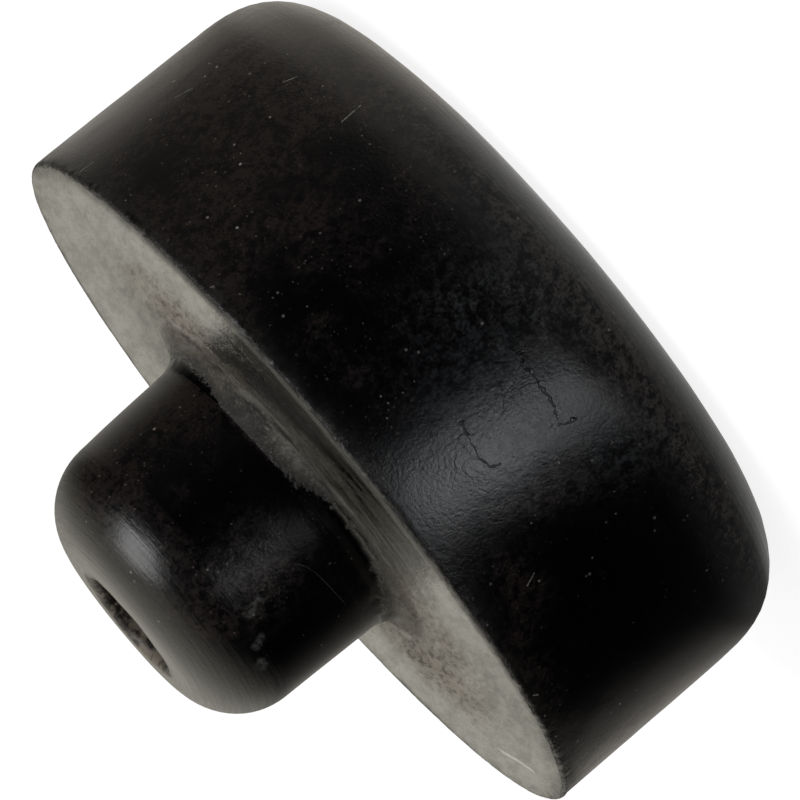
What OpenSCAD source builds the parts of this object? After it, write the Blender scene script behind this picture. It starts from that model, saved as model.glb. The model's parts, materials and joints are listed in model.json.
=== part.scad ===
// Rubber washer: a thick moulded disc with a short tapered spigot on one face
// and one bolt hole through both. Millimetres, +Z up the hole to the spigot's
// end, origin on the hole's axis at the disc's flat back face.
// The part is one full turn of a half section, in which x is the distance
// from the axis and y is the height.

/* [Disc] */
// Diameter of the disc at its shoulder edge
disc_d = 40; // [32:0.5:60]
// Thickness of the disc, from the back face to the shoulder
disc_t = 15.6; // [8:0.1:25]
// Draft of the disc's side, narrowing towards the back face, in degrees
disc_draft = 0.9; // [0:0.1:4]
// Radius of the large rounding between the side and the back face
back_round_r = 4.2; // [0.5:0.1:7]
// Radius of the small rounding at the shoulder edge
shoulder_round_r = 0.3; // [0.1:0.1:1]

/* [Spigot] */
// Diameter of the spigot where its side meets the plane of the shoulder
spigot_d = 16.1; // [14:0.1:22]
// Height of the spigot above the shoulder
spigot_h = 10.6; // [6:0.1:16]
// Draft of the spigot's side, narrowing towards its end, in degrees
spigot_draft = 2.2; // [0:0.1:4]
// Radius of the rounding between the spigot's side and its end
nose_round_r = 3.8; // [0.5:0.1:4]
// Radius of the hollow fillet between the spigot and the shoulder
root_fillet_r = 1.5; // [0.2:0.1:2]

/* [Bolt hole] */
// Diameter of the hole
bore_d = 5.5; // [3:0.1:7]
// Radius of the rounded lip at each end of the hole
lip_r = 0.4; // [0.1:0.1:0.6]

/* [Hidden] */
$fn = 180;

// Every rounding stands this little proud of the side that it blends into, so
// that the two surfaces cross in one clean edge
blend = 0.0005;

disc_r = disc_d / 2;
spigot_r = spigot_d / 2;
bore_r = bore_d / 2;
total_h = disc_t + spigot_h;

// Directions straight out of the two drafted sides
disc_normal = [cos(disc_draft), -sin(disc_draft)];
spigot_normal = [cos(spigot_draft), sin(spigot_draft)];

// Centres of the section's arcs. The arcs that share a side lie their own
// radius from it, which sets how far apart their centres are across it.
shoulder_arc = [disc_r - shoulder_round_r, disc_t - shoulder_round_r];
side_drop = shoulder_arc.y - back_round_r;
side_inset = (back_round_r - shoulder_round_r + side_drop * sin(disc_draft)) / cos(disc_draft);
back_arc = [shoulder_arc.x - side_inset, back_round_r];

nose_rise = spigot_h - nose_round_r;
nose_inset = (nose_round_r + nose_rise * sin(spigot_draft)) / cos(spigot_draft);
nose_arc = [spigot_r - nose_inset, disc_t + nose_rise];
root_offset = root_fillet_r * (1 - sin(spigot_draft)) / cos(spigot_draft);
root_arc = [spigot_r + root_offset - blend, disc_t + root_fillet_r];

// The disc, from the axis out to its drafted side
module disc_section() {
    polygon([
        [0, 0],
        [back_arc.x, 0],
        back_arc,
        back_arc + (back_round_r - blend) * disc_normal,
        shoulder_arc + (shoulder_round_r - blend) * disc_normal,
        shoulder_arc,
        [shoulder_arc.x, disc_t],
        [0, disc_t]
    ]);
    translate(back_arc) circle(r = back_round_r);
    translate(shoulder_arc) circle(r = shoulder_round_r);
}

// The spigot, from inside the disc up to its flat end
module spigot_section() {
    polygon([
        [0, 0],
        [spigot_r, 0],
        [spigot_r, disc_t],
        nose_arc + (nose_round_r - blend) * spigot_normal,
        nose_arc,
        [nose_arc.x, total_h],
        [0, total_h]
    ]);
    translate(nose_arc) circle(r = nose_round_r);
}

// The hollow fillet in the corner between spigot and shoulder
module root_fillet_section() {
    difference() {
        polygon([
            [0, disc_t],
            [root_arc.x, disc_t],
            root_arc,
            root_arc - spigot_r * spigot_normal
        ]);
        translate(root_arc) circle(r = root_fillet_r);
    }
}

// The corner that a rounded lip takes from the end of the hole at height
// end_y, where side is 1 at the spigot's end and -1 at the back face
module lip_cut(end_y, side) {
    lip_arc = [bore_r + lip_r, end_y - side * lip_r];
    difference() {
        translate([bore_r, min(end_y, lip_arc.y)]) square(lip_r);
        translate(lip_arc) circle(r = lip_r);
    }
}

// The whole half section: what lies outside the hole, less its rounded ends
module washer_section() {
    difference() {
        intersection() {
            union() {
                disc_section();
                spigot_section();
                root_fillet_section();
            }
            translate([bore_r, 0]) square([disc_r, total_h]);
        }
        lip_cut(total_h, 1);
        lip_cut(0, -1);
    }
}

module washer() {
    color([0.03, 0.03, 0.032])
        rotate_extrude()
            washer_section();
}

washer();
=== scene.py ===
"""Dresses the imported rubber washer: one displaced mesh of revolution in black
moulded rubber with a ground grey shoulder, on a plain pale floor.

Lengths in this file are in millimetres until they reach Blender. Azimuths are
in degrees round the hole from the camera's side, positive towards +X.
"""

import json
import math

import bpy
import numpy as np
from mathutils import Matrix, Vector


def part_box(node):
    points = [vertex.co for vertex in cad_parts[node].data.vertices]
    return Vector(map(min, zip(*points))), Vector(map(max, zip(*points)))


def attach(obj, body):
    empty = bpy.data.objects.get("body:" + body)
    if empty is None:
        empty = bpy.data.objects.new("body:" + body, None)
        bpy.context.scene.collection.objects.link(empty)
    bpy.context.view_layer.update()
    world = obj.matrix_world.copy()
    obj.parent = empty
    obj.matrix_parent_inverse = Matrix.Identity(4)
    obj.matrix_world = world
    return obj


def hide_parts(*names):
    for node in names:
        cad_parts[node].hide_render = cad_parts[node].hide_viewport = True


MM = 0.001

# ---- the frame ----

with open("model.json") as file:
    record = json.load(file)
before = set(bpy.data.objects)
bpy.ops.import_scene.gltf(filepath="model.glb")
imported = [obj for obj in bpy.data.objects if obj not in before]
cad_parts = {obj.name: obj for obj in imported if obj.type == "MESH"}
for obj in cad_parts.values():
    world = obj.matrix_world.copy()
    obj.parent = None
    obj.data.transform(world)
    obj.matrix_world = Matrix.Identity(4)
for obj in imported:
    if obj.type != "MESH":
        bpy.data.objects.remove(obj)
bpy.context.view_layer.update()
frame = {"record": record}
_, node_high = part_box("washer")
mounts = {mount["name"]: mount for mount in frame["record"]["mounts"]}

TOTAL_H = node_high.z / MM
DISC_R = node_high.x / MM
DISC_T = mounts["shoulder_face"]["pos_m"][2] / MM

# The half section, as in the part's source
BORE_R = mounts["bolt_hole"]["dims"]["r_mm"]
LIP_R = 0.4
BACK_ROUND_R = 4.2
SHOULDER_ROUND_R = 0.3
NOSE_ROUND_R = 3.8
ROOT_FILLET_R = 1.5
SPIGOT_R = 8.05
DISC_DRAFT = 0.9
SPIGOT_DRAFT = 2.2

# How the real one is off true: its shoulder slopes down to +X, and its spigot
# stands a little to +X and leans back
SHOULDER_SLOPE = 0.0069
SPIGOT_ASIDE = 0.268
SPIGOT_LEAN = 0.010

# ---- camera, light ----

CAMERA_DISTANCE = 400.0
CAMERA_ELEVATION = 8.88
CAMERA_ROLL = 130.17
CAMERA_LENS = 369.6
SENSOR_WIDTH = 36.0
# The height that the camera turns about, and how far aside and up in the
# picture it looks from there
AIM_HEIGHT = 8.5
AIM_ASIDE = 0.201
AIM_UP = 0.375

LAMP_AZIMUTH, LAMP_ELEVATION = 48, 50
LAMP_DISTANCE, LAMP_SIZE = 320, 190
# Radiance in the render's units, in which 1 is white
LAMP_RADIANCE = 4.95
FILL_RADIANCE = 0.6

FLOOR_HALF_SIZE = 3000
# The floor lies this far under the washer, clear of its flat back face
FLOOR_DROP = 0.01


def from_azimuth(azimuth, elevation=0.0):
    """Unit vector at an azimuth and elevation in degrees."""
    a, e = math.radians(azimuth), math.radians(elevation)
    return Vector(
        (math.sin(a) * math.cos(e), -math.cos(a) * math.cos(e), math.sin(e))
    )


# ---- profile ----

# Segments round the part: fewest where it is smooth, most at the torn rim
COARSE, MEDIUM, FINE = 360, 720, 1440
# Share of the back rounding over which it bends in, and out again
EDGE_EASE = 0.3
# The finely divided band at the rim: the share of the side below it, and its
# width on the shoulder
RIM_BAND_FROM, RIM_BAND_WIDTH = 0.9, 1.3


def line(start, end, steps):
    """Points of a straight part of the section, without its end."""
    t = np.arange(steps) / steps
    return np.outer(1 - t, start) + np.outer(t, end)


def arc(centre, radius, first, last, steps):
    """Points of a rounding, in degrees from the +r direction, without its end."""
    a = np.radians(first + (last - first) * np.arange(steps) / steps)
    return np.array(centre) + np.array(radius) * np.column_stack([np.cos(a), np.sin(a)])


def eased_corner(corner, first, last, radius, ease, steps):
    """Points of a rounding that bends in and out gradually over a share ease of
    its length, without its end, and that end. It turns from direction first to
    last, in degrees, and cuts the corner as deeply as a round of the radius."""
    substeps = 40
    fine = np.linspace(0, 1, steps * substeps + 1)
    bend = np.minimum(1, np.minimum(fine, 1 - fine) / ease)
    swing = np.concatenate([[0], np.cumsum(bend[1:] + bend[:-1])])
    way = np.radians(first + (last - first) * swing / swing[-1])
    unit = np.column_stack([np.cos(way), np.sin(way)])
    path = np.vstack([[0, 0], np.cumsum(unit[1:] + unit[:-1], axis=0)])
    half_turn = math.radians(last - first) / 2
    reach = np.linalg.norm(path[-1]) / 2 / math.cos(half_turn)
    path -= unit[0] * reach
    depth = np.linalg.norm(path[steps * substeps // 2])
    path *= radius * (1 / math.cos(half_turn) - 1) / depth
    return np.array(corner) + path[:-1:substeps], np.array(corner) + path[-1]


def outward(draft):
    """Direction straight out of a side with this draft, in the half section."""
    return np.array([math.cos(math.radians(draft)), math.sin(math.radians(draft))])


def arc_centres():
    """Centres of the shoulder's, the nose's and the root's arcs."""
    sine = math.sin(math.radians(SPIGOT_DRAFT))
    cosine = math.cos(math.radians(SPIGOT_DRAFT))
    rise = TOTAL_H - DISC_T - NOSE_ROUND_R
    nose_r = SPIGOT_R - (NOSE_ROUND_R + rise * sine) / cosine
    root_r = SPIGOT_R + ROOT_FILLET_R * ((1 - sine) / cosine)
    return (
        np.array([DISC_R - SHOULDER_ROUND_R, DISC_T - SHOULDER_ROUND_R]),
        np.array([nose_r, DISC_T + rise]),
        np.array([root_r, DISC_T + ROOT_FILLET_R]),
    )


def section_parts():
    """The closed half section as (name, points, segments round), outside on the
    right hand of the way it runs: out along the back, up, in and down the hole."""
    shoulder_c, nose_c, root_c = arc_centres()
    spigot_out = outward(SPIGOT_DRAFT)
    side_top = shoulder_c + SHOULDER_ROUND_R * outward(-DISC_DRAFT)
    corner = side_top - side_top[1] * np.array([math.tan(math.radians(DISC_DRAFT)), 1])
    edge, side_foot = eased_corner(corner, 0, 90 - DISC_DRAFT, BACK_ROUND_R, EDGE_EASE, 15)
    rim_low = side_foot + (side_top - side_foot) * RIM_BAND_FROM
    rim_in = (DISC_R - RIM_BAND_WIDTH, DISC_T)
    mouth = BORE_R + LIP_R
    spigot_foot = root_c - ROOT_FILLET_R * spigot_out
    spigot_top = nose_c + NOSE_ROUND_R * spigot_out
    return [
        ("lip", arc((mouth, LIP_R), LIP_R, 180, 270, 4), COARSE),
        ("back", line((mouth, 0), edge[0], 5), COARSE),
        ("edge", edge, MEDIUM),
        ("side", line(side_foot, rim_low, 19), MEDIUM),
        ("side", line(rim_low, side_top, 6), FINE),
        ("rim", arc(shoulder_c, SHOULDER_ROUND_R, -DISC_DRAFT, 90, 5), FINE),
        ("face", line((shoulder_c[0], DISC_T), rim_in, 7), FINE),
        ("face", line(rim_in, (root_c[0], DISC_T), 20), MEDIUM),
        ("root", arc(root_c, ROOT_FILLET_R, 270, 180 + SPIGOT_DRAFT, 9), MEDIUM),
        ("spigot", line(spigot_foot, spigot_top, 11), COARSE),
        ("nose", arc(nose_c, NOSE_ROUND_R, SPIGOT_DRAFT, 90, 16), COARSE),
        ("nose", line((nose_c[0], TOTAL_H), (mouth, TOTAL_H), 4), COARSE),
        ("lip", arc((mouth, TOTAL_H - LIP_R), LIP_R, 90, 180, 5), COARSE),
        ("bore", line((BORE_R, TOTAL_H - LIP_R), (BORE_R, LIP_R), 22), COARSE),
    ]


class Rings:
    """Every ring of the mesh: its radius, height, outward direction, distance
    along the section, part of the section and number of segments."""

    def __init__(self, parts):
        self.points = np.vstack([points for _, points, _ in parts])
        self.part = np.concatenate([[name] * len(points) for name, points, _ in parts])
        self.segments = np.concatenate(
            [[segments] * len(points) for _, points, segments in parts]
        )
        step_out = np.roll(self.points, -1, 0) - self.points
        step_in = self.points - np.roll(self.points, 1, 0)
        unit_out = step_out / np.linalg.norm(step_out, axis=1)[:, None]
        unit_in = step_in / np.linalg.norm(step_in, axis=1)[:, None]
        tangent = unit_out + unit_in
        tangent /= np.linalg.norm(tangent, axis=1)[:, None]
        self.normal = np.column_stack([tangent[:, 1], -tangent[:, 0]])
        lengths = np.linalg.norm(step_out, axis=1)
        self.along = np.concatenate([[0], np.cumsum(lengths)])
        self.first = np.concatenate([[0], np.cumsum(self.segments)])


# ---- noise ----

LATTICE = 32


def lattice_noise(points, cell, seed):
    """Smooth noise from -1 to 1 at points in mm, its lumps about cell mm across."""
    table = np.random.default_rng(seed).random((LATTICE, LATTICE, LATTICE)) * 2 - 1
    p = points / cell
    base = np.floor(p).astype(int)
    t = p - base
    t = t * t * (3 - 2 * t)
    total = np.zeros(len(points))
    for corner in np.ndindex(2, 2, 2):
        i = (base + corner) % LATTICE
        weight = np.prod(np.where(corner, t, 1 - t), axis=1)
        total += weight * table[i[:, 0], i[:, 1], i[:, 2]]
    return total


def smooth(value, low, high):
    """0 below low, 1 above high, with a smooth step in between."""
    t = np.clip((value - low) / (high - low), 0, 1)
    return t * t * (3 - 2 * t)


def bell(value, centre, width):
    """1 at the centre, falling to a third at width from it."""
    return np.exp(-(((value - centre) / width) ** 2))


def spots(azimuth, place, table):
    """Sum of soft spots, each (strength, azimuth, its width, place, its width)."""
    total = np.zeros(len(azimuth))
    for strength, middle, spread, centre, reach in table:
        total += strength * bell(azimuth, middle, spread) * bell(place, centre, reach)
    return total


# ---- mesh ----

# Unevenness in mm of the parts of the section: that of wide, middling and fine
# lumps, and how far it lies inwards as a whole
WIDE_LUMPS, LUMPS, FINE_LUMPS = 7.0, 1.6, 0.5
UNEVENNESS = (
    (("side", "edge"), 0.035, 0.012, 0.004, 0.03),
    (("spigot", "nose"), 0.03, 0.010, 0.0, 0.02),
    (("face",), 0.05, 0.02, 0.006, 0.05),
    (("root",), 0.0, 0.04, 0.03, 0.0),
    (("bore",), 0.0, 0.06, 0.03, 0.0),
)
# The fillet at the spigot's foot is this much tighter in its middle, on the
# side that faces the camera
FOOT_TIGHTER = 0.4
# The shoulder edge: how far its wear reaches, how deep it is all round, and
# how much deeper where it is ragged, in general and at its worst
RIM_REACH, RIM_WEAR, RIM_RAGGED, RIM_TORN = 0.30, 0.04, 0.03, 0.13
# The mouth of the hole: how far its wear reaches, and how uneven it is
MOUTH_REACH, MOUTH_WEAR = 0.5, 0.10
# How much squarer the back corner is, as (share, azimuth, width)
SQUARER = ((0.12, -35, 30), (0.12, 95, 35), (-0.08, -95, 25))
# The widest part stays this far inside the CAD model
INSIDE_BY = 0.015
# Radii between which the spigot's lean sets in and dies out again
LEAN_IN, LEAN_OUT = (3.2, 6.0), (9.5, 12.5)
# Free border round the UV map, as a share of it
UV_BORDER = 0.004


class Surface:
    """The mesh's vertices: their place on the plain section and how far each is
    pushed off it."""

    def __init__(self, rings):
        ring = np.repeat(np.arange(len(rings.points)), rings.segments)
        step = np.concatenate([np.arange(n) for n in rings.segments])
        self.azimuth = step / rings.segments[ring] * 360 - 180
        self.radius, self.height = rings.points[ring].T
        self.out, self.up = rings.normal[ring].T
        self.along = rings.along[ring]
        self.part = rings.part[ring]
        a = np.radians(self.azimuth)
        self.around = np.column_stack([np.sin(a), -np.cos(a), np.zeros(len(a))])
        self.plain = self.around * self.radius[:, None]
        self.plain[:, 2] = self.height

    def on(self, *names):
        return np.isin(self.part, names)

    def noise(self, cell, seed):
        return lattice_noise(self.plain, cell, seed)

    def unevenness(self):
        """How uneven the moulding and the grinding left each part, in mm."""
        wide = self.noise(WIDE_LUMPS, 1)
        lumpy = self.noise(LUMPS, 2)
        fine = self.noise(FINE_LUMPS, 3)
        push = np.zeros(len(self.part))
        for parts, by_wide, by_lumpy, by_fine, inwards in UNEVENNESS:
            uneven = by_wide * wide + by_lumpy * lumpy + by_fine * fine - inwards
            push += np.where(self.on(*parts), uneven, 0)
        return push

    def tight_foot(self):
        """How much deeper the fillet at the spigot's foot is, in mm."""
        near = smooth(self.azimuth, -90, -50) * (1 - smooth(self.azimuth, 0, 25))
        middle = (2 * self.out * self.up) ** 4
        return FOOT_TIGHTER * near * self.on("root") * middle

    def torn_rim(self):
        """How much of the shoulder edge is gone, in mm."""
        reach = np.hypot(self.radius - DISC_R, self.height - DISC_T) / RIM_REACH
        ragged = 0.6 * self.noise(0.4, 4) + self.noise(1.4, 5)
        torn = RIM_RAGGED + RIM_TORN * bell(self.azimuth, -54, 24)
        return np.exp(-reach) * (RIM_WEAR + torn * np.abs(ragged))

    def worn_mouth(self):
        """How far the mouth of the hole stands proud, in mm."""
        inwards = self.radius - BORE_R - 0.2
        reach = np.hypot(inwards, self.height - TOTAL_H) / MOUTH_REACH
        return np.exp(-reach) * MOUTH_WEAR * (self.noise(1.1, 6) - 0.3)

    def push(self):
        """How far each vertex stands off the plain section, in mm."""
        return self.unevenness() - self.tight_foot() - self.torn_rim() + self.worn_mouth()

    def squareness(self):
        """How much less the back corner is cut away, where it is squarer on the
        real one, as a share of how far the rounding lies inside the side."""
        return sum(share * bell(self.azimuth, at, width) for share, at, width in SQUARER)

    def placed(self):
        """Vertex positions in mm, the spigot leaning a little to +X."""
        push = self.push()
        inset = DISC_R - self.radius
        plain = self.radius + inset * self.squareness() * self.on("edge")
        radius = np.minimum(plain + push * self.out, DISC_R - INSIDE_BY)
        height = np.clip(self.height + push * self.up, 0, TOTAL_H)
        height = np.where(self.on("back"), 0, height)
        places = self.around * radius[:, None]
        places[:, 2] = height
        lean = SPIGOT_ASIDE - SPIGOT_LEAN * (height - DISC_T)
        hold = smooth(self.radius, *LEAN_IN) * (1 - smooth(self.radius, *LEAN_OUT))
        above = smooth(self.height, DISC_T - 0.5, DISC_T)
        places[:, 0] += lean * hold * above
        below = np.maximum(DISC_T - height, 0)
        places[:, 0] -= SHOULDER_SLOPE * below * ~self.on("bore", "lip")
        sloping = np.minimum(height / DISC_T, 1) * ~self.on("bore")
        places[:, 2] -= SHOULDER_SLOPE * places[:, 0] * sloping
        places[:, 2] = np.clip(places[:, 2], 0, TOTAL_H)
        return places


def strip_finish(rings, i):
    """Which material a strip of faces takes: 1 where any of it is ground."""
    names = {rings.part[i], rings.part[(i + 1) % len(rings.points)]}
    return int(bool(names & {"rim", "face"}) or names == {"root"})


def strip_faces(rings, i):
    """Faces between ring i and the next, as corner lists of (ring, step)."""
    j = (i + 1) % len(rings.points)
    a, b = int(rings.segments[i]), int(rings.segments[j])
    if a == b:
        return [((i, k), (i, k + 1), (j, k + 1), (j, k)) for k in range(a)]
    if b == 2 * a:
        tips = [((i, k), (j, 2 * k + 1), (j, 2 * k)) for k in range(a)]
        rest = [((i, k), (i, k + 1), (j, 2 * k + 2), (j, 2 * k + 1)) for k in range(a)]
        return tips + rest
    tips = [((i, 2 * k), (i, 2 * k + 1), (j, k)) for k in range(b)]
    rest = [((i, 2 * k + 1), (i, 2 * k + 2), (j, k + 1), (j, k)) for k in range(b)]
    return tips + rest


def bordered(share):
    """A place along one side of the UV map."""
    return UV_BORDER + (1 - 2 * UV_BORDER) * share


def mesh_faces(rings):
    """Every face's vertices and material, and the UV place of every corner."""
    faces, finishes, uvs = [], [], []
    total = rings.along[-1]
    for i in range(len(rings.points)):
        for corners in strip_faces(rings, i):
            face = []
            for ring, step in corners:
                n = int(rings.segments[ring])
                face.append(int(rings.first[ring]) + step % n)
                along = total if ring == 0 and i > 0 else rings.along[ring]
                uvs.append((bordered(step / n), bordered(along / total)))
            faces.append(face)
            finishes.append(strip_finish(rings, i))
    return faces, finishes, uvs


def washer_mesh():
    rings = Rings(section_parts())
    surface = Surface(rings)
    faces, finishes, uvs = mesh_faces(rings)
    mesh = bpy.data.meshes.new("washer")
    mesh.from_pydata((surface.placed() * MM).tolist(), [], faces)
    mesh.shade_smooth()
    mesh.polygons.foreach_set("material_index", finishes)
    layer = mesh.uv_layers.new(name="OFBake")
    layer.data.foreach_set("uv", np.array(uvs, np.float32).ravel())
    for name, values in surface_masks(surface).items():
        mask = mesh.attributes.new(name, "FLOAT", "POINT")
        mask.data.foreach_set("value", values.astype(np.float32))
    return mesh


# ---- masks ----

# Where the grinding ends: its usual height up the fillet, the height over
# which it fades, and how level the rim's rounding is where it ends and fades
FOOT_HEIGHT, FOOT_FADE = 0.55, 0.8
RIM_LEVEL, RIM_FADE = 0.83, 0.3
# Grey haze on the disc's side, partly real haze and partly painted highlight laid over the
# highlight and beside it, as (strength, azimuth, its width, height, its width)
BLOOM_AND_HIGHLIGHT_SPOTS = ((1.0, -14, 7, 9.0, 4.5), (0.75, 0, 8, 5.0, 5.0), (0.6, -24, 6, 4.0, 3.0))
# Brown stains on the shoulder, as (strength, azimuth, its width, radius, its width)
BROWN_SPOTS = (
    (0.8, 57, 24, 11.4, 2.8),
    (0.5, -62, 18, 11.0, 2.5),
    (1.0, -108, 26, 11.9, 3.0),
)
# The dark smear across the near side of the shoulder, partly a real smear and partly painted
# shade in front of the spigot: azimuth, radius and half width of points along it
SMEAR_AND_SHADE_PATH = (
    (-9, 16.5, 0.3),
    (-4, 16.2, 1.2),
    (2, 15.8, 2.3),
    (9, 15.2, 3.4),
    (22, 14.0, 3.1),
    (32, 12.4, 2.2),
    (40, 10.9, 1.2),
)
# Degrees over which the smear, partly painted shade, fades past its ends
SMEAR_AND_SHADE_END = 8


def ground_mask(s, uneven):
    """How far inside the ground finish a vertex is, from -1 to 1. It climbs the
    fillet less where that is torn, and more to its right and far left."""
    torn = bell(s.azimuth, -28, 16)
    high = smooth(s.azimuth, -20, 12) * (1 - smooth(s.azimuth, 28, 60))
    foot = FOOT_HEIGHT + 0.6 * high + 0.5 * bell(s.azimuth, -85, 22)
    foot += (0.15 + 0.35 * torn) * uneven - 0.3 * torn
    on_root = (foot + DISC_T - s.height) / FOOT_FADE
    on_rim = (s.up + 0.45 * uneven - RIM_LEVEL) / RIM_FADE
    ground = np.where(s.on("face"), 1.0, -1.0)
    ground = np.where(s.on("root"), on_root, ground)
    ground = np.where(s.on("rim"), on_rim, ground)
    return np.clip(ground, -1, 1)


def rim_mask(s, uneven):
    """Wear along the shoulder edge."""
    reach = np.hypot(s.radius - DISC_R, s.height - DISC_T) / 0.5
    speckled = s.noise(0.25, 19)
    return np.clip(np.exp(-reach) * (0.7 + 0.5 * uneven + 0.3 * speckled), 0, 1)


def turned_mask(s):
    """Turning marks: all over the nose and the back edge, faint below the rim."""
    turned = np.where(s.on("nose"), 1.0, 0.0)
    turned = np.where(s.on("edge"), smooth(-s.up, 0.02, 0.5), turned)
    return np.where(s.on("side"), 0.35 * smooth(s.height, 12.8, 15.0), turned)


def wrinkled_mask(s):
    """Leathery wrinkles: strong in the highlight, faint in patches elsewhere."""
    patchy = smooth(s.noise(4.5, 14), 0.0, 0.5)
    patchy = 0.20 * patchy * s.on("side", "spigot")
    wrinkled = bell(s.azimuth, -13, 12) * bell(s.height, 8.5, 5.8) * s.on("side", "edge")
    below_rim = 1 - smooth(s.height, 14.2, 15.3) * s.on("side")
    return np.maximum(wrinkled, patchy) * below_rim


def film_mask(s):
    """Brown film: more on the near right, less on the near left and the spigot."""
    film = 0.55 * s.noise(7.0, 15) + 0.35 * s.noise(2.6, 16) + 0.2 * s.noise(1.0, 17)
    film += 0.25 * bell(s.azimuth, 40, 30)
    film -= 0.6 * bell(s.azimuth, 10, 34) * s.on("spigot")
    film -= 0.45 * bell(s.azimuth, -48, 26)
    return smooth(film, -0.35, 0.5)


def bloom_and_highlight_mask(s):
    """Grey haze round the highlight on the disc's side: partly real haze, partly a painted
    highlight that brightens the highlight and its surround.
    """
    lumpy = 0.9 + 0.5 * s.noise(1.4, 20)
    return spots(s.azimuth, s.height, BLOOM_AND_HIGHLIGHT_SPOTS) * s.on("side", "edge") * lumpy


def smudge_and_highlight_mask(s, uneven):
    """A grey-brown smudge on the spigot, laid where its highlight falls and so partly a
    painted highlight, and a paler grey-brown band round the back edge, strongest on the left.
    """
    smudge_and_highlight = bell(s.azimuth, -15, 14) * bell(s.height, 20.6, 2.0) * s.on("spigot", "nose")
    smudge_and_highlight *= 0.9 + 0.6 * uneven
    return smudge_and_highlight + 1.1 * bell(s.azimuth, -25, 60) * bell(-s.up, 0.45, 0.22) * s.on("edge")


def dirt_mask(s):
    """Dirt on the shoulder: along the near rim, and a patch on the left."""
    near_rim = smooth(s.radius, 18.4, 19.5) * bell(s.azimuth, 0, 60)
    return np.maximum(near_rim, 0.3 * smooth(s.radius, 13, 16) * bell(s.azimuth, -58, 22))


def smear_and_shade_mask(s):
    """1 along the middle of the smear, which is partly painted shade, 0 and less at its edges
    and past them.
    """
    azimuths, radii, widths = zip(*SMEAR_AND_SHADE_PATH)
    middle = np.interp(s.azimuth, azimuths, radii)
    width = np.interp(s.azimuth, azimuths, widths)
    past = np.maximum(azimuths[0] - s.azimuth, s.azimuth - azimuths[-1])
    value = 1 - np.abs(s.radius - middle) / width - np.maximum(past, 0) / SMEAR_AND_SHADE_END
    return np.maximum(value, -1)


def shade_mask(s):
    """The strip of the shoulder in front of the spigot, where the colour is darkened as
    painted shade.
    """
    return (1 - smooth(np.abs(s.plain[:, 0] - 2.0), 4.0, 8.5)) * (s.plain[:, 1] < 0)


def surface_masks(s):
    """Where each finish lies, mostly from 0 to 1 at each vertex, and the
    distance along the section in mm."""
    uneven = s.noise(1.3, 11) * 0.6 + s.noise(0.4, 12) * 0.4
    wander = s.radius + 0.5 * s.noise(2.3, 13)
    return {
        "ground": ground_mask(s, uneven),
        "rim": rim_mask(s, uneven),
        "turned": turned_mask(s),
        "wrinkled": wrinkled_mask(s),
        "bloom_and_highlight": bloom_and_highlight_mask(s),
        "smudge_and_highlight": smudge_and_highlight_mask(s, uneven),
        "root": s.on("root").astype(float),
        "film": film_mask(s),
        "creased": smooth(s.noise(0.8, 18), -0.1, 0.3),
        # The ramp out from the spigot, along which shade is painted on the shoulder
        "outer": smooth(wander, 8.6, 17.5),
        "brown": spots(s.azimuth, wander, BROWN_SPOTS),
        "smear_and_shade": smear_and_shade_mask(s),
        "shade": shade_mask(s),
        "dirt": dirt_mask(s),
        "along": s.along,
        "inside": s.on("bore", "lip").astype(float),
    }


# ---- node graphs ----


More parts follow.
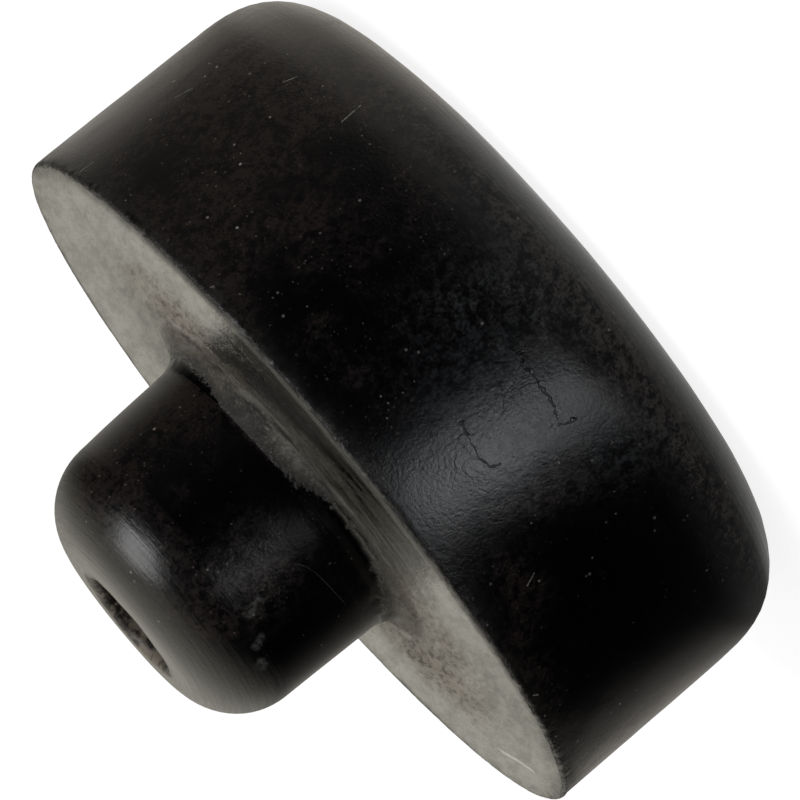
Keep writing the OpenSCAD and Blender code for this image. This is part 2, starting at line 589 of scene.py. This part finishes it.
class Graph:
    """Short names for building a node tree."""

    def __init__(self, tree):
        self.tree = tree
        tree.nodes.clear()

    def node(self, kind, inputs=None, **settings):
        made = self.tree.nodes.new(kind)
        for name, value in settings.items():
            setattr(made, name, value)
        for name, value in (inputs or {}).items():
            self.feed(made.inputs[name], value)
        return made

    def feed(self, socket, value):
        if isinstance(value, bpy.types.NodeSocket):
            self.tree.links.new(value, socket)
        elif value is not None:
            socket.default_value = value

    def math(self, operation, a, b=None, c=None, clamp=False):
        made = self.node("ShaderNodeMath", operation=operation, use_clamp=clamp)
        for socket, value in zip(made.inputs, (a, b, c)):
            self.feed(socket, value)
        return made.outputs[0]

    def times(self, a, b):
        return self.math("MULTIPLY", a, b)

    def times_plus(self, a, b, c):
        """a times b, plus c."""
        return self.math("MULTIPLY_ADD", a, b, c)

    def larger(self, a, b):
        return self.math("MAXIMUM", a, b)

    def total(self, *values):
        result = values[0]
        for value in values[1:]:
            result = self.math("ADD", result, value)
        return result

    def bell(self, value):
        """1 at 0, falling to a third at 1 and -1."""
        return self.math("EXPONENT", self.times(self.times(value, value), -1))

    def vector(self, operation, a, b=None, scale=None):
        made = self.node("ShaderNodeVectorMath", operation=operation)
        self.feed(made.inputs[0], a)
        self.feed(made.inputs[1], b)
        if scale is not None:
            self.feed(made.inputs["Scale"], scale)
        single = operation in ("LENGTH", "DOT_PRODUCT", "DISTANCE")
        return made.outputs["Value" if single else 0]

    def step(self, value, low, high, to_low=0.0, to_high=1.0):
        """to_low below low, to_high above high, with a smooth step in between."""
        ends = {"From Min": low, "From Max": high, "To Min": to_low, "To Max": to_high}
        inputs = {"Value": value, **ends}
        made = self.node("ShaderNodeMapRange", inputs, interpolation_type="SMOOTHSTEP")
        return made.outputs[0]

    def blend(self, factor, a, b):
        made = self.node("ShaderNodeMix", data_type="RGBA", clamp_factor=True)
        self.feed(made.inputs[0], factor)
        self.feed(made.inputs[6], a)
        self.feed(made.inputs[7], b)
        return made.outputs[2]

    def noise_node(self, vector, scale, detail, roughness=0.5):
        inputs = {"Vector": vector, "Scale": scale, "Detail": detail, "Roughness": roughness}
        return self.node("ShaderNodeTexNoise", inputs)

    def noise(self, vector, scale, detail, roughness):
        return self.noise_node(vector, scale, detail, roughness).outputs[0]

    def noise_vector(self, vector, scale):
        """Soft noise with a value of its own in each direction."""
        return self.noise_node(vector, scale, 1.0).outputs[1]

    def grains(self, vector, spacing, size, share):
        """Separate small grains: spacing and size in the vector's units, and the
        share of the cells that hold one."""
        inputs = {"Vector": vector, "Scale": 1 / spacing}
        made = self.node("ShaderNodeTexVoronoi", inputs, feature="F1")
        chance = self.node("ShaderNodeSeparateColor", {0: made.outputs["Color"]})
        reach = self.times(chance.outputs[1], size / spacing)
        inside = self.math("SUBTRACT", reach, made.outputs["Distance"])
        dot = self.step(inside, 0.0, 0.3 * size / spacing)
        chosen = self.math("LESS_THAN", chance.outputs[0], share)
        strength = self.times_plus(chance.outputs[2], 0.75, 0.25)
        return self.times(self.times(dot, chosen), strength)

    def cells(self, vector, scale):
        """Distance from the walls between random cells, in the vector's units."""
        inputs = {"Vector": vector, "Scale": scale}
        made = self.node("ShaderNodeTexVoronoi", inputs, feature="DISTANCE_TO_EDGE")
        return self.math("DIVIDE", made.outputs["Distance"], scale)

    def path_distance(self, where, points):
        """Distance in the plane from a chain of straight lines through points."""
        nearest = None
        for start, end in zip(points, points[1:]):
            span = (end[0] - start[0], end[1] - start[1], 0)
            square = span[0] ** 2 + span[1] ** 2
            offset = self.vector("SUBTRACT", where, (start[0], start[1], 0))
            share = (span[0] / square, span[1] / square, 0)
            dot = self.vector("DOT_PRODUCT", offset, share)
            along = self.math("ADD", dot, 0.0, clamp=True)
            foot = self.vector("SCALE", span, scale=along)
            away = self.vector("DISTANCE", offset, foot)
            nearest = away if nearest is None else self.math("MINIMUM", nearest, away)
        return nearest

    def nearest_path(self, where, chains):
        """Distance in the plane from the nearest of several such chains."""
        near = self.path_distance(where, chains[0])
        for chain in chains[1:]:
            near = self.math("MINIMUM", near, self.path_distance(where, chain))
        return near

    def read(self, name):
        return self.node("ShaderNodeAttribute", attribute_name=name).outputs["Fac"]


# ---- materials ----

# Marks on the disc's side and on the spigot, as chains of (azimuth, height)
CRACKS = (
    ((-5.9, 6.1), (-7.3, 6.5), (-10.6, 6.4), (-14.2, 6.5), (-16.9, 7.0), (-17.8, 6.0)),
    ((-7.6, 10.3), (-9.6, 10.6), (-13.2, 10.8), (-15.1, 10.7), (-15.7, 10.3)),
)
SCRATCHES = (
    ((63.9, 15.4), (63.6, 14.2)),
    ((63.1, 9.2), (61.7, 8.3)),
    ((35.4, 5.0), (35.5, 3.8)),
    ((48.2, 5.4), (47.3, 4.8)),
    ((-31.2, 12.0), (-32.0, 12.6)),
)
THREAD = ((-22.0, 18.95), (-25.0, 18.68), (-29.0, 18.47), (-35.0, 18.33), (-48.6, 18.1))
SCUFFS = (
    ((-23.0, 21.4), (-25.5, 22.2)),
    ((-36.0, 22.5), (-37.5, 22.8)),
    ((-44.5, 23.1), (-47.0, 23.0)),
)
# Fibres and torn nibs that stand at the rim, as (azimuth, height)
NIBS = (
    ((28.9, 15.5), (28.3, 14.9)),
    ((-47.0, 15.5), (-48.3, 15.0)),
    ((-51.8, 15.5), (-52.8, 15.2), (-53.8, 15.4)),
    ((-58.3, 15.5), (-59.0, 15.1)),
)
# The raised streak on the shoulder, as (azimuth, radius)
STREAK = ((-104.0, 17.0), (-96.0, 17.4), (-91.0, 18.1))
# Radius of the spigot at the height of its marks
MARKED_SPIGOT_R = SPIGOT_R - 0.25
# The thread is this much thinner than a scratch
THREAD_THINNER = 0.028

BLACK, BROWN = (0.0005, 0.0005, 0.0010, 1), (0.0088, 0.0058, 0.0050, 1)
# Painted highlights, partly real haze and smudge: grey-blue over the side's highlight,
# grey-brown over the spigot's
HAZE_AND_HIGHLIGHT, SMUDGE_AND_HIGHLIGHT_TONE = (0.018, 0.0195, 0.0205, 1), (0.026, 0.0225, 0.0205, 1)
DUST, LINT = (0.17, 0.145, 0.125, 1), (0.20, 0.19, 0.17, 1)
CRACK, RIM_DUST = (0.0003, 0.0003, 0.0003, 1), (0.016, 0.014, 0.0115, 1)
# The inner colour is browner and darker, its darkness painted shade near the spigot
FACE_INNER_BROWN_AND_SHADE, FACE_OUTER = (0.040, 0.037, 0.029, 1), (0.100, 0.098, 0.083, 1)
# The shoulder's dark dirt colour, also used to paint shade in front of the spigot
FACE_BROWN, FACE_DIRT_AND_SHADE = (0.078, 0.047, 0.027, 1), (0.020, 0.0175, 0.014, 1)
# The smear's near-black, also used for pits and grains, and to paint shade in front of the
# spigot
FACE_LIGHT, FACE_SMEAR_AND_SHADE = (0.140, 0.135, 0.118, 1), (0.0028, 0.0025, 0.0022, 1)
RIDGE, SCUFFED = (0.46, 0.445, 0.39, 1), (0.075, 0.075, 0.072, 1)
INSIDE_DARK, INSIDE_LIGHT = (0.006, 0.0045, 0.0035, 1), (0.11, 0.092, 0.070, 1)

# Roughness of the bare rubber, and how much more dust and wear at the rim give
BARE_ROUGHNESS, DUST_ROUGHNESS, RIM_ROUGHNESS = 0.215, 0.3, 0.45
REFRACTIVE_INDEX = 1.5

# The grain's lumps to a mm, and in mm the spaces between turning marks and
# between grinding streaks, and how much the cracks and scuffs are moved about
GRAIN_PER_MM = 5.5
TURNING_SPACE, STREAK_SPACE = 0.19, 0.85
SHAKE = 0.45
# Scale of the shoulder's pattern, which the grinding drew out along Y
STROKE = (1, 0.22, 1)
# Large and small dust and dark pits in the shoulder: spacing, size and the share
# of the cells that hold one
LARGE_DUST, SMALL_DUST, PITS = (0.45, 0.10, 0.26), (0.26, 0.075, 0.5), (0.5, 0.12, 0.2)


def on_round(radius, points):
    """(azimuth, height) points on a round of this radius, laid out flat in mm."""
    return [(math.radians(azimuth) * radius, height) for azimuth, height in points]


def on_face(points):
    """(azimuth, radius) points on the shoulder, as x and y in mm."""
    return [tuple(radius * from_azimuth(azimuth).xy) for azimuth, radius in points]


class Rubber:
    """The washer's finish: coordinates in mm, masks from the mesh, and the relief,
    colour and roughness worked out from them, on what was moulded and ground."""

    def __init__(self, g):
        self.g = g
        coordinates = g.node("ShaderNodeTexCoord").outputs["Object"]
        self.place = g.vector("SCALE", coordinates, scale=1 / MM)
        self.flat = g.vector("MULTIPLY", self.place, (1, 1, 0))
        self.radius = g.vector("LENGTH", self.flat)
        self.unit = g.vector("NORMALIZE", self.flat)
        self.grain = g.noise(self.place, GRAIN_PER_MM, 2.0, 0.7)
        self.rim = g.read("rim")
        self.dust = self.dust_specks()

    def round_lines(self, distance, spacing, wander, detail):
        """Lines round the part, this far apart along a distance in mm."""
        g = self.g
        height = g.math("DIVIDE", distance, spacing)
        lift = g.node("ShaderNodeCombineXYZ", {"Z": height}).outputs[0]
        turned = g.vector("ADD", g.vector("SCALE", self.unit, scale=wander), lift)
        return g.noise(turned, 1.0, detail, 0.7)

    def dust_specks(self):
        """Specks of dust, thicker where the film is."""
        g = self.g
        large = g.grains(self.place, *LARGE_DUST)
        small = g.grains(g.vector("ADD", self.place, (1.3, 7.7, 3.1)), *SMALL_DUST)
        both = g.larger(large, g.times(small, 0.28))
        return g.times(both, g.times_plus(g.read("film"), 0.7, 0.3))


class MouldedRubber(Rubber):
    """Black under a thin brown film, with haze and smudges that are partly painted
    highlights, wrinkles and marks.
    """

    def __init__(self, g):
        super().__init__(g)
        self.turned = g.read("turned")
        self.turning = self.round_lines(g.read("along"), TURNING_SPACE, 1.6, 2.0)
        self.patches = g.noise(self.place, 1.7, 4.0, 0.8)
        film = g.times(g.read("film"), g.step(self.patches, 0.38, 0.64, 0.1, 1.9))
        self.film = g.times(film, g.step(self.grain, 0.36, 0.64, 0.5, 1.5))
        self.bloom_and_highlight = g.read("bloom_and_highlight")
        self.broken = g.step(self.grain, 0.35, 0.6, 0.1, 0.55)
        self.where = self.unrolled()
        self.shaken = self.shake(self.where)
        cracks = [on_round(DISC_R, crack) for crack in CRACKS]
        self.cracks = g.step(g.nearest_path(self.shaken, cracks), 0.01, 0.065, 1.0, 0.0)

    def unrolled(self):
        """Distance round the part and height, laid out flat in mm."""
        g = self.g
        part = g.node("ShaderNodeSeparateXYZ", {0: self.place})
        angle = g.math("ARCTAN2", part.outputs[0], g.times(part.outputs[1], -1))
        around = g.times(angle, self.radius)
        laid = g.node("ShaderNodeCombineXYZ", {"X": around, "Y": part.outputs[2]})
        return laid.outputs[0]

    def shake(self, where):
        """The same flat place, moved about a little."""
        g = self.g
        shake = g.vector("SUBTRACT", g.noise_vector(self.place, 2.6), (0.5, 0.5, 0.5))
        shake = g.vector("SCALE", shake, scale=SHAKE)
        return g.vector("MULTIPLY", g.vector("ADD", where, shake), (1, 1, 0))

    def relief(self):
        """Height in mm: grain, worn rim, turning marks, wrinkles and cracks."""
        g = self.g
        warp = g.vector("SCALE", g.noise_vector(self.place, 1.1), scale=0.7)
        warped = g.vector("ADD", self.place, warp)
        wrinkled = g.read("wrinkled")
        leather = g.noise(warped, 1.8, 3.0, 0.65)
        creases = g.step(g.cells(warped, 1.15), 0.0, 0.08, 1.0, 0.0)
        creases = g.times(creases, g.read("creased"))
        return g.total(
            g.times(self.grain, 0.011),
            g.times(g.times(self.grain, self.rim), 0.07),
            g.times(g.times(self.turning, self.turned), 0.014),
            g.times(g.times(leather, wrinkled), 0.019),
            g.times(g.times(creases, wrinkled), -0.005),
            g.times(self.cracks, -0.03),
        )

    def rubbed(self):
        """The film's colour with the haze and the spigot's smudge, both partly painted
        highlights, and the wear at the rim.
        """
        g = self.g
        colour = g.blend(self.film, BLACK, BROWN)
        patchy = g.step(self.patches, 0.39, 0.61, 0.05, 1.05)
        speckle = g.times(patchy, g.step(self.grain, 0.38, 0.60, 0.35, 1.55))
        # Painted highlight, partly real haze: pale grey-blue over the side's highlight and
        # beside it
        colour = g.blend(g.times(self.bloom_and_highlight, speckle), colour, HAZE_AND_HIGHLIGHT)
        # Painted highlight, partly a real smudge: grey-brown where the spigot's highlight
        # falls
        colour = g.blend(g.times(g.read("smudge_and_highlight"), speckle), colour, SMUDGE_AND_HIGHLIGHT_TONE)
        return g.blend(g.times(self.rim, 0.8), colour, RIM_DUST)

    def lint(self):
        """Pale scratches and nibs on the disc, and the thread on the spigot."""
        g = self.g
        scratches = [on_round(DISC_R, mark) for mark in SCRATCHES + NIBS]
        scratches = g.nearest_path(self.where, scratches)
        thread = g.path_distance(self.where, on_round(MARKED_SPIGOT_R, THREAD))
        near = g.math("MINIMUM", scratches, g.math("ADD", thread, THREAD_THINNER))
        return g.times(g.step(near, 0.01, 0.05, 1.0, 0.0), self.broken)

    def colour(self):
        g = self.g
        colour = g.blend(g.times(self.cracks, 0.7), self.rubbed(), CRACK)
        worn = g.step(g.noise(self.place, 0.9, 3.0, 0.7), 0.42, 0.60)
        inside = g.blend(worn, INSIDE_DARK, INSIDE_LIGHT)
        colour = g.blend(g.read("inside"), colour, inside)
        scuffs = [on_round(MARKED_SPIGOT_R, mark) for mark in SCUFFS]
        scuffs = g.step(g.nearest_path(self.shaken, scuffs), 0.0, 0.4, 1.0, 0.0)
        colour = g.blend(g.times(scuffs, self.broken), colour, SCUFFED)
        colour = g.blend(self.dust, colour, DUST)
        return g.blend(self.lint(), colour, LINT)

    def roughness(self):
        g = self.g
        hazy = g.times(g.step(self.patches, 0.40, 0.60), g.times(self.bloom_and_highlight, 0.03))
        return g.total(
            g.times(self.turned, g.times_plus(self.turning, 0.22, -0.05)),
            g.times(self.rim, RIM_ROUGHNESS),
            g.times(self.film, 0.04),
            hazy,
            g.times(self.dust, DUST_ROUGHNESS),
            g.times(g.read("inside"), 0.3),
            BARE_ROUGHNESS,
        )


class GroundRubber(Rubber):
    """The shoulder: grey, browner inwards and darker there with painted shade, with a dark
    smear that is partly painted shade, and black where the grinding ends at its rim and root."""

    def __init__(self, g):
        super().__init__(g)
        self.stroke = g.vector("MULTIPLY", self.place, STROKE)
        self.streaks = self.round_lines(self.radius, STREAK_SPACE, 3.0, 3.0)
        self.grit = g.noise(self.stroke, 2.9, 4.0, 0.75)
        self.mottle = g.step(g.noise(self.stroke, 0.9, 4.0, 0.8), 0.36, 0.66)
        self.inwards = g.read("ground")
        self.outer, self.shade = g.read("outer"), g.read("shade")
        self.brown, self.dirt = g.read("brown"), g.read("dirt")
        grit = g.math("SUBTRACT", self.grit, 0.5)
        self.ground = g.step(g.times_plus(grit, 1.15, self.inwards), -0.27, 0.27)
        wander = g.times_plus(g.math("SUBTRACT", self.streaks, 0.5), 1.6, g.read("smear_and_shade"))
        self.smear_and_shade = g.step(g.times_plus(grit, 1.9, wander), -0.1, 0.9)
        self.grains = g.times(g.step(self.grit, 0.50, 0.60), self.brown)
        away = g.path_distance(self.flat, on_face(STREAK))
        frayed = g.times(g.step(self.grain, 0.35, 0.6, 0.75, 1.0), self.ground)
        self.ridge = g.times(g.step(away, 0.03, 0.30, 1.0, 0.0), frayed)

    def relief(self):
        """Height in mm: grain, worn rim, grit, streaks and the raised streak."""
        g = self.g
        amount = g.times(self.ground, g.times_plus(self.smear_and_shade, -0.95, 1.0))
        coarse = g.times_plus(self.brown, 0.09, 0.035)
        fibrous = g.times_plus(self.shade, 0.05, 0.03)
        return g.total(
            g.times(self.grain, 0.010),
            g.times(g.times(self.grit, self.rim), 0.25),
            g.times(g.times(self.grit, amount), coarse),
            g.times(g.times(self.streaks, amount), fibrous),
            g.times(self.ridge, 0.06),
        )

    def greys(self):
        """The ground rubber's colours: grey, browner and darker towards the spigot with
        painted shade, mottled, stained and streaked.
        """
        g = self.g
        # Painted shade, partly brown tone: darker and browner towards the spigot
        colour = g.blend(self.outer, FACE_INNER_BROWN_AND_SHADE, FACE_OUTER)
        colour = g.blend(g.times(self.mottle, 0.6), colour, FACE_DIRT_AND_SHADE)
        colour = g.blend(g.times(g.step(self.grain, 0.48, 0.68), 0.6), colour, FACE_LIGHT)
        colour = g.blend(g.times(self.brown, 0.95), colour, FACE_BROWN)
        colour = g.blend(g.times(self.grains, 0.85), colour, FACE_SMEAR_AND_SHADE)
        return g.blend(g.times(g.step(self.streaks, 0.52, 0.66), 0.5), colour, FACE_LIGHT)

    def shaded(self, colour):
        """Painted shade in front of the spigot: duller, with dark streaks that deepen it, and
        a few pale chips.
        """
        g = self.g
        # Painted shade: the strip in front of the spigot darkened, most towards the rim
        shade = g.times(self.shade, g.times_plus(self.outer, 0.6, 0.25))
        dull = g.larger(shade, g.times(self.dirt, 0.85))
        colour = g.blend(dull, colour, FACE_DIRT_AND_SHADE)
        dark = g.times(g.step(self.streaks, 0.38, 0.50, 1.0, 0.0), self.shade)
        colour = g.blend(g.times(dark, 0.9), colour, FACE_SMEAR_AND_SHADE)
        chips = g.times(g.step(self.grain, 0.52, 0.68), self.shade)
        return g.blend(g.times(chips, 0.2), colour, FACE_OUTER)

    def colour(self):
        g = self.g
        # The dark smear: partly a real smear, partly painted shade in front of the spigot
        colour = g.blend(self.smear_and_shade, self.shaded(self.greys()), FACE_SMEAR_AND_SHADE)
        pits = g.grains(g.vector("ADD", self.stroke, (4.1, 2.2, 0)), *PITS)
        colour = g.blend(pits, colour, FACE_SMEAR_AND_SHADE)
        colour = g.blend(g.times(self.ridge, 0.9), colour, RIDGE)
        fringe = g.step(g.times_plus(self.grit, 0.8, self.inwards), 0.4, 1.2, 0.75, 0.0)
        colour = g.blend(fringe, colour, FACE_DIRT_AND_SHADE)
        black = g.blend(g.times(self.rim, 0.8), BLACK, RIM_DUST)
        return g.blend(self.dust, g.blend(self.ground, black, colour), DUST)

    def roughness(self):
        g = self.g
        clear = g.times_plus(g.math("SUBTRACT", 1.0, self.outer), 0.18, -0.09)
        clear = g.times_plus(self.mottle, 0.12, clear)
        clear = g.times_plus(self.grit, 0.18, clear)
        clear = g.times_plus(self.dirt, 0.35, clear)
        clear = g.times_plus(self.shade, -0.10, clear)
        clear = g.times_plus(self.brown, 0.08, clear)
        clear = g.times_plus(self.grains, 0.22, clear)
        clear = g.times(clear, g.math("SUBTRACT", 1.0, self.smear_and_shade))
        hollow = g.times(self.ground, g.times_plus(self.shade, 0.2, 0.2))
        return g.total(
            g.times(self.ground, clear),
            g.times(self.rim, RIM_ROUGHNESS),
            g.times(g.read("root"), hollow),
            g.times(self.smear_and_shade, -0.07),
            g.times(self.dust, DUST_ROUGHNESS),
            BARE_ROUGHNESS,
        )


def rubber_material(name, kind):
    material = bpy.data.materials.new(name)
    material.use_nodes = True
    g = Graph(material.node_tree)
    rubber = kind(g)
    relief = {"Height": rubber.relief(), "Distance": MM, "Strength": 1.0}
    finish = {
        "Base Color": rubber.colour(),
        "Roughness": rubber.roughness(),
        "Normal": g.node("ShaderNodeBump", relief).outputs[0],
    }
    shader = g.node("ShaderNodeBsdfPrincipled", finish)
    shader.inputs["IOR"].default_value = REFRACTIVE_INDEX
    g.node("ShaderNodeOutputMaterial", {"Surface": shader.outputs[0]})
    return material


# ---- the studio ----

WHITE = (1, 1, 1, 1)
# What gloss sees of the studio: the high room, and the cool and warm floor
ROOM_TINT = (1.0, 0.965, 0.84, 1)
COOL_TINT, WARM_TINT = (0.96, 1.0, 1.04, 1), (1.07, 1.0, 0.90, 1)
FLOOR_COLOUR = (0.9, 0.9, 0.9, 1)
# Brightness of the floor to the camera and of its light in all, and how much of
# the shadow the camera sees
FLOOR_SHOWN, FLOOR_GLOW, SHADOW_SHOWN = 1.1, 1.05, 0.25
# The floor changes between these distances: the disc's side mirrors what is
# nearer, and the spigot's side what is farther
FAR_FLOOR = (112.0, 135.0)
# Degrees by which the pool of light lies left of the camera: close by, farther
# off, and how much more on the far floor
POOL_CLOSE_TURN, POOL_TURN, POOL_FAR_TURN = 28.0, 21.5, 11.0
# Its half width in degrees, that on the far floor, and how much its right side adds
POOL_WIDTH, POOL_FAR_WIDTH, POOL_RIGHT_WIDTH = 5.8, 8.0, 3.2
# The distance at which it is brightest, over what width, and by how much
PEAK_AT, PEAK_WIDTH, PEAK = 73.0, 14.0, 3.3


def shown_rays(g, ray):
    """1 for what the camera sees, straight or through something clear."""
    return g.larger(ray.outputs["Is Camera Ray"], ray.outputs["Is Transmission Ray"])


def studio_world():
    """White to the camera, an even fill on the washer, and for gloss a room
    that brightens upwards and to the back."""
    world = bpy.data.worlds.new("studio")
    bpy.context.scene.world = world
    world.use_nodes = True
    g = Graph(world.node_tree)
    ray = g.node("ShaderNodeLightPath")
    direction = g.node("ShaderNodeTexCoord").outputs["Generated"]
    x, y, z = g.node("ShaderNodeSeparateXYZ", {0: direction}).outputs
    rise = g.times_plus(z, 1.37, y)
    rise = g.times_plus(x, -0.15, rise)
    rise = g.times_plus(g.larger(x, 0.0), -0.3, rise)
    room = g.step(rise, 0.30, 2.5, 0.0, 1.86)
    glossy = ray.outputs["Is Glossy Ray"]
    white = g.larger(shown_rays(g, ray), g.times(glossy, room))
    level = g.larger(white, g.times(ray.outputs["Is Diffuse Ray"], FILL_RADIANCE))
    tint = g.blend(glossy, WHITE, ROOM_TINT)
    back = g.node("ShaderNodeBackground", {"Color": tint, "Strength": level})
    g.node("ShaderNodeOutputWorld", {"Surface": back.outputs[0]})


class FloorLight:
    """What gloss sees of the floor, by distance from the washer in mm, by
    azimuth, and by how far back and how far to the side it lies, from -1 to 1."""

    def __init__(self, g):
        self.g = g
        position = g.node("ShaderNodeNewGeometry").outputs["Position"]
        place = g.vector("SCALE", position, scale=1 / MM)
        x, y, _ = g.node("ShaderNodeSeparateXYZ", {0: place}).outputs
        self.far = g.vector("LENGTH", place)
        turn = g.math("ARCTAN2", x, g.times(y, -1))
        self.azimuth = g.times(turn, 180 / math.pi)
        self.back = g.math("DIVIDE", y, self.far)
        self.side = g.math("DIVIDE", x, self.far)

    def behind(self):
        """The floor behind the washer, dimmer far away on the left."""
        g = self.g
        behind = g.step(g.times_plus(self.side, 0.09, self.back), 0.085, 1.0, 0.0, 0.444)
        distant = g.step(self.side, -0.85, -0.25, 0.3, 0.70)
        return g.times(behind, g.step(self.far, *FAR_FLOOR, 1.0, distant))

    def near(self):
        """A ring round the washer, brighter on the right, and the contact edge."""
        g = self.g
        right = g.step(self.side, -0.75, 1.05)
        ring = g.times_plus(g.times(right, right), 0.46, 0.07)
        ring = g.times(ring, g.step(self.back, 0.2, 0.8, 1.0, 0.72))
        ring = g.larger(ring, g.step(self.back, 0.3, 1.0, 0.0, 0.35))
        near = g.times(g.step(self.far, 22.0, 50.0, 1.0, 0.0), ring)
        left = g.step(self.side, -1.0, 0.0, 0.36, 0.66)
        meeting = g.math("SUBTRACT", left, g.step(self.side, 0.1, 0.95, 0.0, 0.5))
        contact = g.step(self.far, 17.8, 20.6, 1.0, 0.0)
        return g.times_plus(contact, meeting, near)

    def pool(self):
        """The pool of light in front on the left, which makes the highlights."""
        g = self.g
        turn = g.step(self.far, 45.0, 105.0, POOL_CLOSE_TURN, POOL_TURN)
        turn = g.math("ADD", turn, g.step(self.far, *FAR_FLOOR, 0.0, POOL_FAR_TURN))
        off = g.math("ADD", self.azimuth, turn)
        narrow = g.step(self.far, *FAR_FLOOR, POOL_WIDTH, POOL_FAR_WIDTH)
        on_right = g.math("GREATER_THAN", off, 0.0)
        spread = g.times_plus(on_right, POOL_RIGHT_WIDTH, narrow)
        pool = g.bell(g.math("DIVIDE", off, spread))
        from_peak = g.math("SUBTRACT", self.far, PEAK_AT)
        peak = g.bell(g.math("DIVIDE", from_peak, PEAK_WIDTH))
        reach = g.times_plus(peak, PEAK, g.step(self.far, 72.0, 112.0, 2.4, 0.95))
        reach = g.times(g.step(self.far, 18.0, 68.0), reach)
        reach = g.times(reach, g.step(self.far, 130.0, 300.0, 1.0, 0.2))
        return g.times(pool, reach)

    def right(self):
        """A faint light on the far right."""
        g = self.g
        dim = g.step(self.side, 0.5, 1.0, 0.0, 0.09)
        return g.times(dim, g.step(self.far, 130.0, 200.0, 1.0, 0.45))

    def strength(self):
        """The brightest of the four at each place."""
        g = self.g
        wide = g.larger(self.behind(), self.near())
        return g.larger(wide, g.larger(self.pool(), self.right()))

    def warmth(self):
        """Warm on the right, behind and close to the washer, cool elsewhere."""
        g = self.g
        warm = g.larger(g.step(self.side, -0.2, 0.9), g.step(self.back, 0.0, 0.5, 0.0, 0.9))
        return g.larger(warm, g.step(self.far, 30.0, 45.0, 0.45, 0.0))


def floor_material():
    """Pale to the camera, with the washer's shadow, and patterned for gloss."""
    material = bpy.data.materials.new("pale_floor")
    material.use_nodes = True
    g = Graph(material.node_tree)
    ray = g.node("ShaderNodeLightPath")
    light = FloorLight(g)
    glossy = ray.outputs["Is Glossy Ray"]
    shown = shown_rays(g, ray)
    strength = g.larger(g.times(shown, FLOOR_SHOWN), g.times(glossy, light.strength()))
    cool = g.blend(glossy, WHITE, COOL_TINT)
    tint = g.blend(g.times(glossy, light.warmth()), cool, WARM_TINT)
    strength = g.times(strength, FLOOR_GLOW)
    glow = g.node("ShaderNodeEmission", {"Color": tint, "Strength": strength})
    diffuse = g.node("ShaderNodeBsdfDiffuse", {"Color": FLOOR_COLOUR})
    lit = g.times_plus(shown, SHADOW_SHOWN - 1, g.math("SUBTRACT", 1.0, glossy))
    mixed = g.node("ShaderNodeMixShader", {0: lit, 1: glow.outputs[0], 2: diffuse.outputs[0]})
    g.node("ShaderNodeOutputMaterial", {"Surface": mixed.outputs[0]})
    return material


def studio_floor():
    size, level = FLOOR_HALF_SIZE * MM, -FLOOR_DROP * MM
    corners = [(-size, -size), (size, -size), (size, size), (-size, size)]
    mesh = bpy.data.meshes.new("floor")
    mesh.from_pydata([(x, y, level) for x, y in corners], [], [(0, 1, 2, 3)])
    floor = bpy.data.objects.new("floor", mesh)
    bpy.context.scene.collection.objects.link(floor)
    mesh.materials.append(floor_material())


def soft_lamp():
    """A square lamp facing the washer."""
    light = bpy.data.lights.new("lamp_high", "AREA")
    light.shape = "SQUARE"
    light.size = LAMP_SIZE * MM
    light.energy = LAMP_RADIANCE * math.pi * light.size**2
    lamp = bpy.data.objects.new("lamp_high", light)
    bpy.context.scene.collection.objects.link(lamp)
    way = from_azimuth(LAMP_AZIMUTH, LAMP_ELEVATION)
    lamp.location = way * LAMP_DISTANCE * MM + Vector((0, 0, DISC_T * MM))
    lamp.rotation_mode = "QUATERNION"
    lamp.rotation_quaternion = way.to_track_quat("Z", "Y")
    lamp.visible_camera = False


def photo_camera():
    data = bpy.data.cameras.new("camera")
    data.sensor_width = SENSOR_WIDTH
    data.lens = CAMERA_LENS
    data.clip_start, data.clip_end = 0.01, 20.0
    camera = bpy.data.objects.new("camera", data)
    bpy.context.scene.collection.objects.link(camera)
    back = from_azimuth(0, CAMERA_ELEVATION)
    roll = Matrix.Rotation(math.radians(-CAMERA_ROLL), 3, "Z").to_quaternion()
    turn = (-back).to_track_quat("-Z", "Y") @ roll
    aim = Vector((0, 0, AIM_HEIGHT)) - turn @ Vector((AIM_ASIDE, AIM_UP, 0))
    camera.location = (aim + back * CAMERA_DISTANCE) * MM
    camera.rotation_mode = "QUATERNION"
    camera.rotation_quaternion = turn
    bpy.context.scene.camera = camera


# ---- scene ----

washer = bpy.data.objects.new("washer_rubber", washer_mesh())
bpy.context.scene.collection.objects.link(washer)
washer.data.materials.append(rubber_material("moulded_rubber", MouldedRubber))
washer.data.materials.append(rubber_material("ground_rubber", GroundRubber))
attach(washer, "root")
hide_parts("washer")

studio_world()
studio_floor()
soft_lamp()
photo_camera()

bpy.context.scene.view_settings.view_transform = "Standard"
